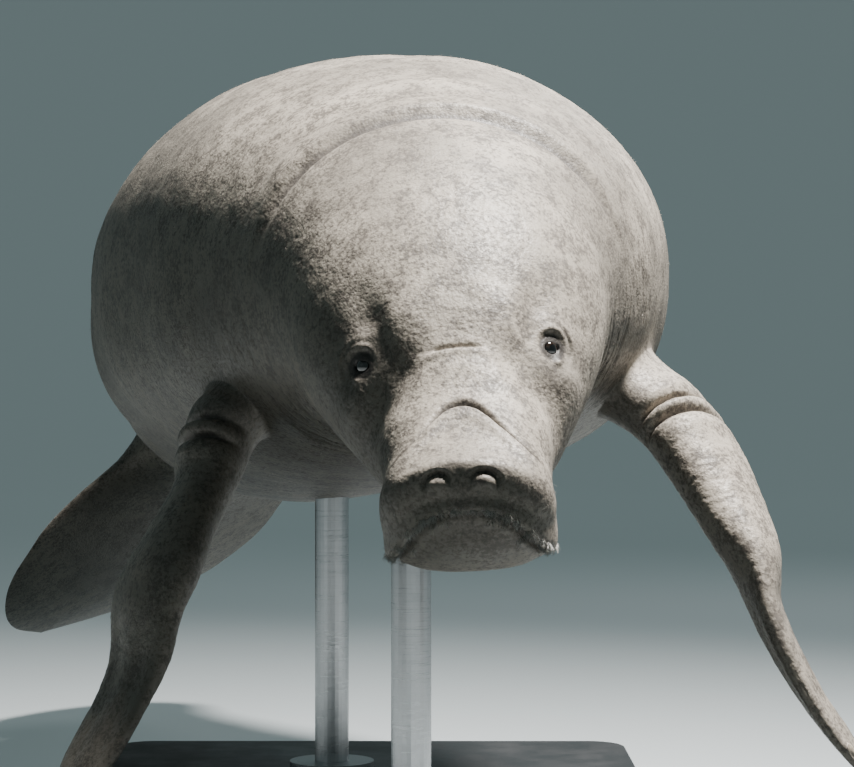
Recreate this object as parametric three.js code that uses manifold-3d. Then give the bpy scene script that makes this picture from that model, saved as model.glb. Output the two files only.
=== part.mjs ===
import * as THREE from 'three';
import { mergeVertices } from 'three/addons/utils/BufferGeometryUtils.js';
import Module from 'manifold-3d';

const wasm = await Module();
wasm.setup();

// A still, life-size West Indian manatee on a plain display stand.
// The head faces -Y, the back is up (+Z) and the animal's left side is +X.
// The origin is on the floor, at the centre of the stand's base. Millimetres.

// Overall sizes
const BODY_LENGTH = 2860;
const GAP = 0.3;
const TAIL_ROUND = 244;

// The blunt front of the muzzle, tighter at its top, and how its face bows back
// towards the brow and the chin
const NOSE_DOME = 52;
const NOSE_DOME_TOP = 22;
const NOSE_DOME_POWER = 2.5;
const FACE_LEAN = -0.02;
const FACE_BOW_UP = 0.0016;
const FACE_BOW_DOWN = 0.0042;
const FACE_BOW_LENGTH = 170;

// A point of the spine, and its distance from the nose
const ANCHOR_AT = 1200;
const ANCHOR = new THREE.Vector3(24, -60, 839);

// Heading of the spine along the body, walking from the nose to the tail:
// distance from the nose, then yaw (minus is to the animal's right), pitch and roll in degrees
const HEADING = [
  [0, 2.2, 37.3, 3.4],
  [200, -3.8, 36.1, 7],
  [330, -6.3, 38.2, 6],
  [450, -6, 23, 4],
  [600, -3.3, 11, 2],
  [800, -8, 4, 0],
  [1200, -11, -2, 0],
  [1700, -16, -15, 0],
  [2000, -16.5, -18.5, 0],
  [2250, -38.5, -34.5, 0],
  [2480, -57, -43.5, -5],
  [2860, -71, -30, -2],
];

// Cross-sections of the body: distance from the nose, half width, rise above
// the spine, drop below it, squareness of the upper half and of the lower half
const SECTIONS = [
  [0, 96, 96, 91, 2.2, 2.5],
  [55, 96, 89, 100, 2.3, 2.7],
  [105, 93, 87, 96, 2.2, 2.4],
  [150, 96, 88, 101, 2.2, 2.3],
  [205, 120, 102, 115, 2.1, 2.2],
  [270, 147, 130, 134, 2.1, 2.1],
  [340, 173, 155, 159, 2.1, 2.1],
  [460, 208, 194, 190, 2.1, 2.2],
  [650, 290, 250, 238, 2.05, 2.4],
  [900, 368, 298, 284, 2.05, 2.5],
  [1250, 416, 323, 318, 2.1, 2.3],
  [1550, 400, 311, 305, 2.1, 2.2],
  [1850, 330, 261, 256, 2.1, 2.1],
  [2060, 236, 184, 188, 2.1, 2.1],
  [2200, 200, 128, 124, 2, 2],
  [2310, 218, 80, 76, 1.8, 1.8],
  [2430, 278, 48, 46, 1.5, 1.5],
  [2550, 320, 33, 31, 1.4, 1.4],
  [2670, 324, 24, 22, 1.4, 1.4],
  [2860, 303, 13, 12, 1.4, 1.4],
];

// Where the body is parted: name, from, to, sides of each ring
const PARTS = [
  ['head', 205, 425, 44],
  ['neck', 425, 600, 44],
  ['chest', 600, 960, 40],
  ['torso', 960, 1850, 40],
  ['tail_stock', 1850, 2340, 36],
  ['tail_paddle', 2340, BODY_LENGTH, 36],
];
const MUZZLE_END = 205;
const MUZZLE_SIDES = 50;
const TAIL_EDGE_RINGS = 8;
const NOSE_RINGS = 8;

// Folds of the skin across the back. Rows are: distance from the nose at the
// midline of the back, how far it swings forward down the sides, degrees from
// the midline over which it does, height (minus is a groove), width along the
// body, and the degrees from the midline at which it has died out
const CREASES = [
  [135, 72, 28, -8, 8, 105],
  [117, 72, 28, 5, 11, 100],
  [219, 4, 40, -5, 10, 45],
  [196, 4, 40, 3, 14, 45],
  [548, 32, 55, -7, 12, 85],
  [575, 32, 55, 6, 18, 85],
];
const CREST_ANGLE = 90;

// Swellings and hollows, the same on both sides: distance from the nose,
// degrees from the midline of the back, height, spread along the body, spread in degrees
const SWELLINGS = [
  [150, 66, 4, 24, 20],
  [212, 30, -8, 17, 10],
  [198, 50, -11, 17, 12],
  [186, 72, -10, 17, 14],
  [228, 76, 5, 16, 14],
  [251, 54, -5, 20, 12],
  [271, 52, 4, 9, 12],
  [276, 37, -5, 28, 6],
  [268, 22, 4, 26, 10],
  [330, 85, 5, 50, 22],
];

// Mouth: the lower jaw lies under an arch, and its lip is set in from the upper lips
const MOUTH_RISE = 40;
const MOUTH_DROP = 164;
const MOUTH_HALF_WIDTH = 105;
const MOUTH_CURVE = 2.8;
const JAW_END = 150;
const LIP_OVERHANG = 4;
const LIP_SET_BACK = 10;

// Nostrils: distance from the nose and degrees of each, with its pit and its valve
const NOSTRILS = [
  [7.6, 75],
  [8, 109],
];
const NOSTRIL_PIT = 15;
const NOSTRIL_VALVE = 10.5;

// Eyes: distance from the nose and degrees
const EYE_LEFT = [251, 36];
const EYE_RIGHT = [251, 144];
const EYE_RADIUS = 12;
const EYE_DEPTH = 12;
const LID_SIZE = [21, 17, 15.5];
const EYE_OPENING = 9.5;
const EYE_OPENING_RISE = 5.5;

// Each flipper follows a line of points from inside the shoulder to its tip.
// Turns are: share of its length, degrees its chord is turned from the body's
// length. Sections are: share of its length, half chord, half thickness
const LEFT_FLIPPER = {
  points: [
    [340, -505, 697],
    [422, -548, 636],
    [467, -598, 574],
    [512, -638, 474],
    [530, -662, 392],
    [572, -690, 307],
    [657, -732, 181],
  ],
  turns: [
    [0, 12],
    [0.3, 30],
    [0.6, 2],
    [1, 17],
  ],
  sections: [
    [0, 100, 59],
    [0.12, 91, 48],
    [0.22, 84, 44],
    [0.34, 84, 41],
    [0.48, 94, 38],
    [0.62, 98, 20],
    [0.76, 86, 16],
    [0.9, 62, 12],
    [1, 40, 10],
  ],
  outer: -1,
};
const RIGHT_FLIPPER = {
  points: [
    [-111, -485, 690],
    [-171, -530, 614],
    [-194, -570, 541],
    [-226, -610, 479],
    [-258, -640, 407],
    [-272, -662, 318],
    [-361, -722, 144],
  ],
  turns: [
    [0, -3],
    [0.3, -7],
    [0.6, -30],
    [1, -30],
  ],
  sections: [
    [0, 100, 59],
    [0.12, 92, 48],
    [0.22, 84, 45],
    [0.34, 84, 36],
    [0.48, 99, 37],
    [0.62, 86, 25],
    [0.76, 72, 14],
    [0.9, 70, 13],
    [1, 44, 10],
  ],
  outer: 1,
};
const FLIPPER_SIDES = 22;
const FLIPPER_TIP = 0.16;

// Rings of a flipper, closer together where the shoulder's skin rolls
const FLIPPER_RINGS = [
  0, 0.06, 0.105, 0.135, 0.158, 0.175, 0.184, 0.191, 0.198, 0.211, 0.225, 0.232, 0.239,
  0.255, 0.28, 0.32, 0.37, 0.43, 0.49, 0.55, 0.61, 0.68, 0.76, 0.84,
];
const FLIPPER_TIP_RINGS = 6;

// Rolls of skin on the shoulder: share along the flipper, height, spread
const SHOULDER_ROLLS = [
  [0.155, 7, 0.02],
  [0.191, -9, 0.008],
  [0.211, 6, 0.012],
  [0.232, -8, 0.008],
  [0.26, 5, 0.018],
];
const ROLL_TURN = 45;

// Nails near each flipper's tip: share along it and degrees off the middle of its outer face
const NAILS = [
  [0.925, -52],
  [0.95, -26],
  [0.955, 2],
];
const NAIL_SIZE = [6.5, 11, 4];

// Display stand
const BASE_LENGTH = 1300;
const BASE_WIDTH = 900;
const BASE_THICKNESS = 40;
const BASE_CORNER = 60;
const BASE_BEVEL = 5;
const ROD_RADIUS = 28;
const FLANGE_RADIUS = 70;
const FLANGE_THICKNESS = 14;
const RODS = [
  ['stand_rod_front', 78, -360],
  ['stand_rod_rear', -58, 320],
];

function rowsAt(table, at, column) {
  const last = table.length - 1;
  const value = (i) => table[i][column];
  const place = (i) => table[i][0];
  if (at <= place(0)) {
    return value(0);
  }
  if (at >= place(last)) {
    return value(last);
  }
  let i = 0;
  while (at > place(i + 1)) {
    i += 1;
  }
  const slope = (k) => (value(k + 1) - value(k)) / (place(k + 1) - place(k));
  const tangent = (k) => {
    if (k === 0 || k === last) {
      return slope(Math.min(k, last - 1));
    }
    const before = slope(k - 1);
    const after = slope(k);
    return before * after <= 0 ? 0 : (2 * before * after) / (before + after);
  };
  const span = place(i + 1) - place(i);
  const t = (at - place(i)) / span;
  const startShare = 2 * t ** 3 - 3 * t ** 2 + 1;
  const startSlope = (t ** 3 - 2 * t ** 2 + t) * span * tangent(i);
  const endSlope = (t ** 3 - t ** 2) * span * tangent(i + 1);
  return startShare * value(i) + startSlope + (1 - startShare) * value(i + 1) + endSlope;
}

function headingAt(at) {
  const yaw = THREE.MathUtils.degToRad(rowsAt(HEADING, at, 1));
  const pitch = THREE.MathUtils.degToRad(rowsAt(HEADING, at, 2));
  const flat = Math.cos(pitch);
  return {
    along: new THREE.Vector3(Math.sin(yaw) * flat, Math.cos(yaw) * flat, Math.sin(pitch)),
    side: new THREE.Vector3(Math.cos(yaw), -Math.sin(yaw), 0),
  };
}

// The spine is walked in short steps, so distances along it stay true
const STEP = 5;

function walkSpine() {
  const walked = [new THREE.Vector3()];
  for (let at = 0; at < BODY_LENGTH; at += STEP) {
    const { along } = headingAt(at + STEP / 2);
    walked.push(walked[walked.length - 1].clone().addScaledVector(along, STEP));
  }
  const shift = ANCHOR.clone().sub(walked[ANCHOR_AT / STEP]);
  return walked.map((point) => point.add(shift));
}

const spinePoints = walkSpine();

function spineFrame(at) {
  const cell = Math.min(Math.max(at / STEP, 0), spinePoints.length - 1.001);
  const i = Math.floor(cell);
  const centre = spinePoints[i].clone().lerp(spinePoints[i + 1], cell - i);
  const { along, side } = headingAt(at);
  side.applyAxisAngle(along, -THREE.MathUtils.degToRad(rowsAt(HEADING, at, 3)));
  const up = new THREE.Vector3().crossVectors(side, along).normalize();
  return { centre, along, side, up };
}

function bell(distance, spread) {
  return Math.exp(-0.5 * (distance / spread) ** 2);
}

function degreesBetween(a, b) {
  const turn = (((a - b) % 360) + 540) % 360;
  return turn - 180;
}

function fadeOut(value, end) {
  const t = Math.min(Math.max(1 - value / end, 0), 1);
  return t * t * (3 - 2 * t);
}

function offCrest(degrees) {
  return Math.abs(degreesBetween(degrees, CREST_ANGLE));
}

// How far forward of its place on the midline a fold lies
function swungForward([, swing, swingDegrees], off) {
  return swing * (1 - Math.exp(-((off / swingDegrees) ** 2)));
}

function skinRelief(at, degrees) {
  const off = offCrest(degrees);
  let height = 0;
  for (const crease of CREASES) {
    const [place, , , rise, spread, end] = crease;
    const here = at - place + swungForward(crease, off);
    height += rise * bell(here, spread) * Math.min(2 * fadeOut(off, end), 1);
  }
  for (const [place, turn, rise, spread, spreadDegrees] of SWELLINGS) {
    height += rise * bell(at - place, spread) * bell(off - turn, spreadDegrees);
  }
  return height;
}

function signedPower(value, power) {
  return Math.sign(value) * Math.abs(value) ** power;
}

function bodyPoint(at, angle, grow = 0, setBack = 0) {
  const { centre, along, side, up } = spineFrame(at);
  const dome = NOSE_DOME + (NOSE_DOME_TOP - NOSE_DOME) * Math.max(Math.sin(angle), 0) ** 1.5;
  const nose = Math.min(at / dome, 1);
  const front = (1 - (1 - nose) ** NOSE_DOME_POWER) ** (1 / NOSE_DOME_POWER);
  const left = Math.min((BODY_LENGTH - at) / TAIL_ROUND, 1);
  const back = Math.sqrt(1 - (1 - left) ** 2);
  const upper = Math.sin(angle) > 0;
  const power = 2 / rowsAt(SECTIONS, at, upper ? 4 : 5);
  const reach = rowsAt(SECTIONS, at, upper ? 2 : 3);
  const extra = grow + skinRelief(at, THREE.MathUtils.radToDeg(angle)) * front;
  const across = signedPower(Math.cos(angle), power) * (rowsAt(SECTIONS, at, 1) * back * front + extra);
  const height = signedPower(Math.sin(angle), power) * (reach * front * Math.max(back, 0.45) + extra);
  const bow = upper ? FACE_BOW_UP : FACE_BOW_DOWN;
  const forward = (FACE_LEAN * height - bow * height ** 2) * Math.max(1 - at / FACE_BOW_LENGTH, 0) ** 1.5;
  return centre
    .addScaledVector(side, across)
    .addScaledVector(up, height)
    .addScaledVector(along, setBack - forward);
}

function outwardAt(at, angle) {
  const step = 0.02;
  const reach = 3;
  const here = bodyPoint(at, angle);
  const alongSkin = bodyPoint(at + reach, angle).sub(here);
  const aroundSkin = bodyPoint(at, angle + step).sub(here);
  return { here, normal: alongSkin.cross(aroundSkin).normalize() };
}

// Closed surface through a row of closed rings, flat at both ends; its facets mirror left to right
function surfaceThroughRings(rings) {
  const count = rings[0].length;
  const positions = [];
  const index = [];
  for (const ring of rings) {
    for (const point of ring) {
      positions.push(point.x, point.y, point.z);
    }
  }
  const at = (r, k) => r * count + (k % count);
  for (let r = 0; r + 1 < rings.length; r += 1) {
    for (let k = 0; k < count; k += 1) {
      if (k >= count / 4 && k < (3 * count) / 4) {
        index.push(at(r, k), at(r + 1, k), at(r, k + 1));
        index.push(at(r, k + 1), at(r + 1, k), at(r + 1, k + 1));
      } else {
        index.push(at(r, k), at(r + 1, k), at(r + 1, k + 1));
        index.push(at(r, k), at(r + 1, k + 1), at(r, k + 1));
      }
    }
  }
  for (const r of [0, rings.length - 1]) {
    const middle = new THREE.Vector3();
    for (const point of rings[r]) {
      middle.addScaledVector(point, 1 / count);
    }
    const hub = positions.length / 3;
    positions.push(middle.x, middle.y, middle.z);
    for (let k = 0; k < count; k += 1) {
      if (r === 0) {
        index.push(hub, at(r, k), at(r, k + 1));
      } else {
        index.push(hub, at(r, k + 1), at(r, k));
      }
    }
  }
  const geometry = new THREE.BufferGeometry();
  geometry.setAttribute('position', new THREE.Float32BufferAttribute(positions, 3));
  geometry.setIndex(index);
  return geometry;
}

function solid(geometry) {
  const bare = geometry.clone();
  bare.deleteAttribute('normal');
  bare.deleteAttribute('uv');
  const merged = mergeVertices(bare, 1e-3);
  const vertProperties = new Float32Array(merged.attributes.position.array);
  const triVerts = new Uint32Array(merged.index.array);
  const made = new wasm.Manifold(new wasm.Mesh({ numProp: 3, vertProperties, triVerts }));
  if (made.volume() < 0) {
    throw new Error('a surface faces inwards');
  }
  return made;
}

function placedSolid(geometry, centre, xAxis, yAxis, zAxis) {
  const matrix = new THREE.Matrix4().makeBasis(xAxis, yAxis, zAxis).setPosition(centre);
  return solid(geometry.clone().applyMatrix4(matrix));
}

function ball(centre, radius, around = 18, down = 10) {
  return solid(new THREE.SphereGeometry(radius, around, down).translate(centre.x, centre.y, centre.z));
}

function spacingAt(at) {
  const steps = [
    [200, 12],
    [420, 18],
    [620, 17],
    [960, 50],
    [1900, 64],
    [2340, 42],
  ];
  const found = steps.find(([end]) => at < end);
  return found ? found[1] : 30;
}

function stationsBetween(from, to) {
  const places = [from];
  if (from < NOSE_DOME) {
    for (let k = 1; k <= NOSE_RINGS; k += 1) {
      places.push(NOSE_DOME * (1 - Math.cos((k / NOSE_RINGS) * (Math.PI / 2))));
    }
  }
  const roundFrom = BODY_LENGTH - TAIL_ROUND;
  const straightEnd = Math.min(to, roundFrom);
  while (places[places.length - 1] < straightEnd) {
    const here = places[places.length - 1];
    const next = here + spacingAt(here);
    places.push(next > straightEnd - 0.5 * spacingAt(here) ? straightEnd : next);
  }
  if (to > roundFrom) {
    for (let k = 1; k <= TAIL_EDGE_RINGS; k += 1) {
      places.push(roundFrom + (to - roundFrom) * Math.sin((k / TAIL_EDGE_RINGS) * (Math.PI / 2)));
    }
  }
  return places;
}

// The muzzle's rings bend forward with the rim of its disc, so that the rim's groove lies along them
function bentPlace(at, degrees) {
  const [rim] = CREASES[0];
  const share = at < rim ? at / rim : Math.max((MUZZLE_END - at) / (MUZZLE_END - rim), 0);
  return at - swungForward(CREASES[0], offCrest(degrees)) * share;
}

function bodySlice(from, to, sides, trim, growAt = () => 0, setBackAt = () => 0) {
  const stations = stationsBetween(from, to);
  stations[0] += from === 0 ? 0.05 : trim;
  stations[stations.length - 1] -= to === BODY_LENGTH ? 0.05 : trim;
  const rings = [];
  for (const station of stations) {
    const ring = [];
    for (let k = 0; k < sides; k += 1) {
      const at = from === 0 ? bentPlace(station, (k / sides) * 360) : station;
      ring.push(bodyPoint(at, (k / sides) * 2 * Math.PI, growAt(at), setBackAt(at)));
    }
    rings.push(ring);
  }
  return solid(surfaceThroughRings(rings));
}

const group = new THREE.Group();
const skin = new THREE.MeshStandardMaterial({ color: 0x8f877c, roughness: 0.75, metalness: 0 });
const eyeDark = new THREE.MeshStandardMaterial({ color: 0x17120f, roughness: 0.1, metalness: 0 });
const nailHorn = new THREE.MeshStandardMaterial({ color: 0xb9ab93, roughness: 0.5, metalness: 0 });
const standPaint = new THREE.MeshStandardMaterial({ color: 0x2b2d30, roughness: 0.5, metalness: 0 });
const rodSteel = new THREE.MeshStandardMaterial({ color: 0x8c8f92, roughness: 0.3, metalness: 1 });

function addNode(name, shape, material) {
  const pieces = shape.decompose().sort((a, b) => b.volume() - a.volume());
  const mesh = pieces[0].getMesh();
  const geometry = new THREE.BufferGeometry();
  geometry.setAttribute('position', new THREE.BufferAttribute(mesh.vertProperties, 3));
  geometry.setIndex(new THREE.BufferAttribute(mesh.triVerts, 1));
  geometry.computeVertexNormals();
  const node = new THREE.Mesh(geometry, material.clone());
  node.name = name;
  group.add(node);
}

// Muzzle and lower jaw, parted along the arch of the mouth
function jawRegion(grow) {
  const outline = new THREE.Shape();
  const wide = 160;
  outline.moveTo(-wide, -wide);
  outline.lineTo(wide, -wide);
  const steps = 24;
  for (let k = 0; k <= steps; k += 1) {
    const x = MOUTH_HALF_WIDTH * (1 - (2 * k) / steps);
    const drop = MOUTH_DROP * Math.abs(x / MOUTH_HALF_WIDTH) ** MOUTH_CURVE;
    outline.lineTo(x, MOUTH_RISE - drop + grow);
  }
  const depth = JAW_END + 150 + grow;
  const geometry = new THREE.ExtrudeGeometry(outline, { depth, bevelEnabled: false });
  const { centre, along, side, up } = spineFrame(0);
  const start = centre.clone().addScaledVector(along, -150);
  return placedSolid(geometry, start, side.negate(), up, along);
}

const jawShare = (at) => Math.max(1 - at / JAW_END, 0);
const jawWhole = bodySlice(
  0,
  MUZZLE_END,
  MUZZLE_SIDES,
  GAP / 2,
  (at) => -LIP_OVERHANG * jawShare(at),
  (at) => LIP_SET_BACK * jawShare(at),
);

let muzzle = bodySlice(0, MUZZLE_END, MUZZLE_SIDES, GAP / 2);
for (const [at, degrees] of NOSTRILS) {
  const angle = THREE.MathUtils.degToRad(degrees);
  const { here, normal } = outwardAt(at, angle);
  const { along } = spineFrame(at);
  const back = along.clone().addScaledVector(normal, -along.dot(normal)).normalize();
  const across = new THREE.Vector3().crossVectors(back, normal);
  const pit = new THREE.SphereGeometry(NOSTRIL_PIT, 16, 10).scale(1.05, 0.8, 0.85);
  const valve = new THREE.SphereGeometry(NOSTRIL_VALVE, 14, 9).scale(1.15, 0.9, 1.25);
  muzzle = muzzle.subtract(placedSolid(pit, here, across, back, normal));
  const valveCentre = here.clone().addScaledVector(back, -6).addScaledVector(normal, -7.5);
  muzzle = muzzle.add(placedSolid(valve, valveCentre, across, back, normal));
}
addNode('muzzle', muzzle.subtract(jawRegion(GAP)), skin);
addNode('lower_jaw', jawWhole.intersect(jawRegion(0)), skin);

// Head with sockets and lids, and the eyes in them
const eyeShape = new THREE.Shape();
eyeShape.moveTo(-EYE_OPENING, 0);
eyeShape.quadraticCurveTo(0, EYE_OPENING_RISE * 2, EYE_OPENING, 0);
eyeShape.quadraticCurveTo(0, -EYE_OPENING_RISE * 2, -EYE_OPENING, 0);

function withEye(head, place) {
  const [at, degrees] = place;
  const { here, normal } = outwardAt(at, THREE.MathUtils.degToRad(degrees));
  const { along } = spineFrame(at);
  const back = along.clone().addScaledVector(normal, -along.dot(normal)).normalize();
  const rise = new THREE.Vector3().crossVectors(normal, back);
  const centre = here.clone().addScaledVector(normal, -EYE_DEPTH);
  const lidShape = new THREE.SphereGeometry(1, 24, 14).scale(...LID_SIZE);
  const lids = placedSolid(lidShape, centre, back, rise, normal);
  const slit = new THREE.ExtrudeGeometry(eyeShape, { depth: 40, bevelEnabled: false, curveSegments: 8 });
  const socket = ball(centre, EYE_RADIUS + GAP);
  const open = head.add(lids).subtract(socket).subtract(placedSolid(slit, centre, back, rise, normal));
  return { open, centre };
}

for (const [name, from, to, sides] of PARTS) {
  let shape = bodySlice(from, to, sides, GAP / 2);
  if (name === 'head') {
    const left = withEye(shape, EYE_LEFT);
    const right = withEye(left.open, EYE_RIGHT);
    shape = right.open;
    addNode('eye_left', ball(left.centre, EYE_RADIUS), eyeDark);
    addNode('eye_right', ball(right.centre, EYE_RADIUS), eyeDark);
  }
  addNode(name, shape, skin);
}

// Flippers
for (const flipper of [LEFT_FLIPPER, RIGHT_FLIPPER]) {
  const points = flipper.points.map(([x, y, z]) => new THREE.Vector3(x, y, z));
  flipper.curve = new THREE.CatmullRomCurve3(points, false, 'centripetal');
}

function flipperPoint(flipper, share, angle) {
  const centre = flipper.curve.getPointAt(share);
  const along = flipper.curve.getTangentAt(share);
  const turn = THREE.MathUtils.degToRad(rowsAt(flipper.turns, share, 1));
  const chord = new THREE.Vector3(Math.sin(turn), Math.cos(turn), 0);
  chord.addScaledVector(along, -chord.dot(along)).normalize();
  const thick = new THREE.Vector3().crossVectors(chord, along);
  const tip = Math.sqrt(Math.max(1 - Math.max((share - 1) / FLIPPER_TIP + 1, 0) ** 2, 0));
  const rolled = Math.PI - flipper.outer * THREE.MathUtils.degToRad(ROLL_TURN);
  const leading = Math.max(Math.cos(angle - rolled), 0);
  let roll = 0;
  for (const [place, rise, spread] of SHOULDER_ROLLS) {
    roll += rise * bell(share - place, spread) * leading;
  }
  const halfChord = rowsAt(flipper.sections, share, 1) * tip + roll;
  const halfThick = rowsAt(flipper.sections, share, 2) * Math.max(tip, 0.3) + roll;
  const blade = 1 - 0.3 * Math.sin(Math.PI * share) * Math.cos(angle);
  return centre
    .addScaledVector(chord, Math.cos(angle) * halfChord)
    .addScaledVector(thick, Math.sin(angle) * halfThick * blade);
}

function flipperSolid(flipper) {
  const shares = [...FLIPPER_RINGS];
  for (let r = 1; r <= FLIPPER_TIP_RINGS; r += 1) {
    shares.push(1 - FLIPPER_TIP + FLIPPER_TIP * Math.sin((r / FLIPPER_TIP_RINGS) * (Math.PI / 2)));
  }
  const rings = shares.map((share) => {
    const ring = [];
    for (let k = 0; k < FLIPPER_SIDES; k += 1) {
      ring.push(flipperPoint(flipper, Math.min(share, 0.9995), (k / FLIPPER_SIDES) * 2 * Math.PI));
    }
    return ring;
  });
  return solid(surfaceThroughRings(rings));
}

// The trunk, grown by the gap, cuts the flippers and rods where they meet it
const trunkParts = PARTS.slice(1, 5).map(([, from, to, sides]) => bodySlice(from, to, sides, 0, () => GAP));
const trunk = trunkParts.reduce((joined, part) => joined.add(part));

function addFlipper(side, flipper) {
  let shape = flipperSolid(flipper).subtract(trunk);
  NAILS.forEach(([share, degrees], number) => {
    const angle = flipper.outer * THREE.MathUtils.degToRad(90 - degrees);
    const centre = flipperPoint(flipper, share, angle);
    const ahead = flipperPoint(flipper, share + 0.01, angle).sub(centre).normalize();
    const around = flipperPoint(flipper, share, angle + 0.05).sub(centre).normalize();
    const normal = new THREE.Vector3().crossVectors(ahead, around).normalize();
    const across = new THREE.Vector3().crossVectors(ahead, normal);
    const [wide, long, high] = NAIL_SIZE;
    const nail = new THREE.SphereGeometry(1, 12, 7).scale(wide, long, high);
    const pocket = new THREE.SphereGeometry(1, 12, 7).scale(wide + GAP, long + GAP, high + GAP);
    shape = shape.subtract(placedSolid(pocket, centre, across, ahead, normal));
    addNode(`nail_${side}_${number + 1}`, placedSolid(nail, centre, across, ahead, normal), nailHorn);
  });
  addNode(`flipper_${side}`, shape, skin);
}

addFlipper('left', LEFT_FLIPPER);
addFlipper('right', RIGHT_FLIPPER);

// Stand
function roundedPlate(length, width, corner) {
  const plate = new THREE.Shape();
  const x = width / 2;
  const y = length / 2;
  plate.moveTo(-x + corner, -y);
  plate.lineTo(x - corner, -y);
  plate.absarc(x - corner, -y + corner, corner, -Math.PI / 2, 0);
  plate.lineTo(x, y - corner);
  plate.absarc(x - corner, y - corner, corner, 0, Math.PI / 2);
  plate.lineTo(-x + corner, y);
  plate.absarc(-x + corner, y - corner, corner, Math.PI / 2, Math.PI);
  plate.lineTo(-x, -y + corner);
  plate.absarc(-x + corner, -y + corner, corner, Math.PI, 1.5 * Math.PI);
  return plate;
}

const plateShape = roundedPlate(BASE_LENGTH - 2 * BASE_BEVEL, BASE_WIDTH - 2 * BASE_BEVEL, BASE_CORNER);
const plate = new THREE.ExtrudeGeometry(plateShape, {
  depth: BASE_THICKNESS - 2 * BASE_BEVEL,
  bevelThickness: BASE_BEVEL,
  bevelSize: BASE_BEVEL,
  bevelSegments: 2,
  curveSegments: 5,
}).translate(0, 0, BASE_BEVEL);
addNode('stand_base', solid(plate), standPaint);

for (const [name, x, y] of RODS) {
  const foot = BASE_THICKNESS + GAP;
  const top = ANCHOR.z;
  const rod = new THREE.CylinderGeometry(ROD_RADIUS, ROD_RADIUS, top - foot, 28)
    .rotateX(Math.PI / 2)
    .translate(x, y, (top + foot) / 2);
  const flange = new THREE.CylinderGeometry(FLANGE_RADIUS, FLANGE_RADIUS, FLANGE_THICKNESS, 32)
    .rotateX(Math.PI / 2)
    .translate(x, y, foot + FLANGE_THICKNESS / 2);
  addNode(name, solid(rod).add(solid(flange)).subtract(trunk), rodSteel);
}

export default group;
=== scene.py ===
"""The looks of a life-size manatee model on a plain display stand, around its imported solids.

Metres, in the frame of the solids: the head faces -Y, the back is up (+Z) and the animal's left
side is +X. Shapes are worked out in millimetres and made into metres at the end.
"""

import math

import bmesh
import bpy
import numpy as np
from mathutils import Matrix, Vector
from mathutils.bvhtree import BVHTree


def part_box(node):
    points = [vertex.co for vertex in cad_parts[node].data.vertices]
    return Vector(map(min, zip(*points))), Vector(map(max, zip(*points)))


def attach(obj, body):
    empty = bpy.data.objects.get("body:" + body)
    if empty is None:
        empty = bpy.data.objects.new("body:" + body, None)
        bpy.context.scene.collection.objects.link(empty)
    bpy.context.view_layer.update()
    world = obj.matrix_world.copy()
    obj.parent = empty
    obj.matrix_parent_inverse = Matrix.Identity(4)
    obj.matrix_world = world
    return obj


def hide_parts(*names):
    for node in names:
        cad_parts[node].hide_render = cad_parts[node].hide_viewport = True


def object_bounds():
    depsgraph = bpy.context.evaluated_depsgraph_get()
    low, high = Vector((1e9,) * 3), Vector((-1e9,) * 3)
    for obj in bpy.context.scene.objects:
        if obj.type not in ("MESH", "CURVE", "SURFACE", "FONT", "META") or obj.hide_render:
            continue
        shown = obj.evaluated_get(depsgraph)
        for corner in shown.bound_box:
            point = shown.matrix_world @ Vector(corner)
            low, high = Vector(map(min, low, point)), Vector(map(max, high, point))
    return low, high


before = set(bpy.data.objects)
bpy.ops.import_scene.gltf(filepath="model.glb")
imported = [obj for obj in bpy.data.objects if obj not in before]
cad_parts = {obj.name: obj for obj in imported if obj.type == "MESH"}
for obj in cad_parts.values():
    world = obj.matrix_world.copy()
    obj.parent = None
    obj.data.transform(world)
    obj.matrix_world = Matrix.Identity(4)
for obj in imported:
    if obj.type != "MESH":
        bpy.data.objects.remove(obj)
CAD_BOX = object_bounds()
MM = 0.001


def new_object(name, data):
    obj = bpy.data.objects.new(name, data)
    bpy.context.scene.collection.objects.link(obj)
    return obj


# The camera comes first: the photograph's viewpoint, level, straight along +Y
IMAGE_WIDTH = 854
FOCAL_PIXELS = 2510.0
SENSOR = 36.0
CAMERA_PLACE = (0.1, -3.85, 0.68)
FAR_CLIP = 200

camera_data = bpy.data.cameras.new("camera")
camera_data.sensor_width = SENSOR
camera_data.lens = FOCAL_PIXELS / IMAGE_WIDTH * SENSOR
camera_data.clip_end = FAR_CLIP
camera = new_object("camera", camera_data)
camera.location = CAMERA_PLACE
camera.rotation_euler = (math.radians(90), 0, 0)
bpy.context.scene.camera = camera

# Sizes shared with the solids
BODY_LENGTH = 2860
TAIL_ROUND = 244
TAIL_EDGE = 0.45
NOSE_DOME = 52
NOSE_DOME_TOP = 22
NOSE_DOME_POWER = 2.5
FACE_LEAN = -0.02
FACE_BOW_UP = 0.0016
FACE_BOW_DOWN = 0.0042
FACE_BOW_LENGTH = 170
ANCHOR_AT = 1200
ANCHOR = np.array([24.0, -60.0, 839.0])

# Distance from the nose, then yaw, pitch and roll of the midline in degrees
HEADING = np.array([
    [0, 2.2, 37.3, 3.4], [200, -3.8, 36.1, 7], [330, -6.3, 38.2, 6], [450, -6, 23, 4],
    [600, -3.3, 11, 2], [800, -8, 4, 0], [1200, -11, -2, 0], [1700, -16, -15, 0],
    [2000, -16.5, -18.5, 0], [2250, -38.5, -34.5, 0], [2480, -57, -43.5, -5], [2860, -71, -30, -2],
], float)

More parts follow.
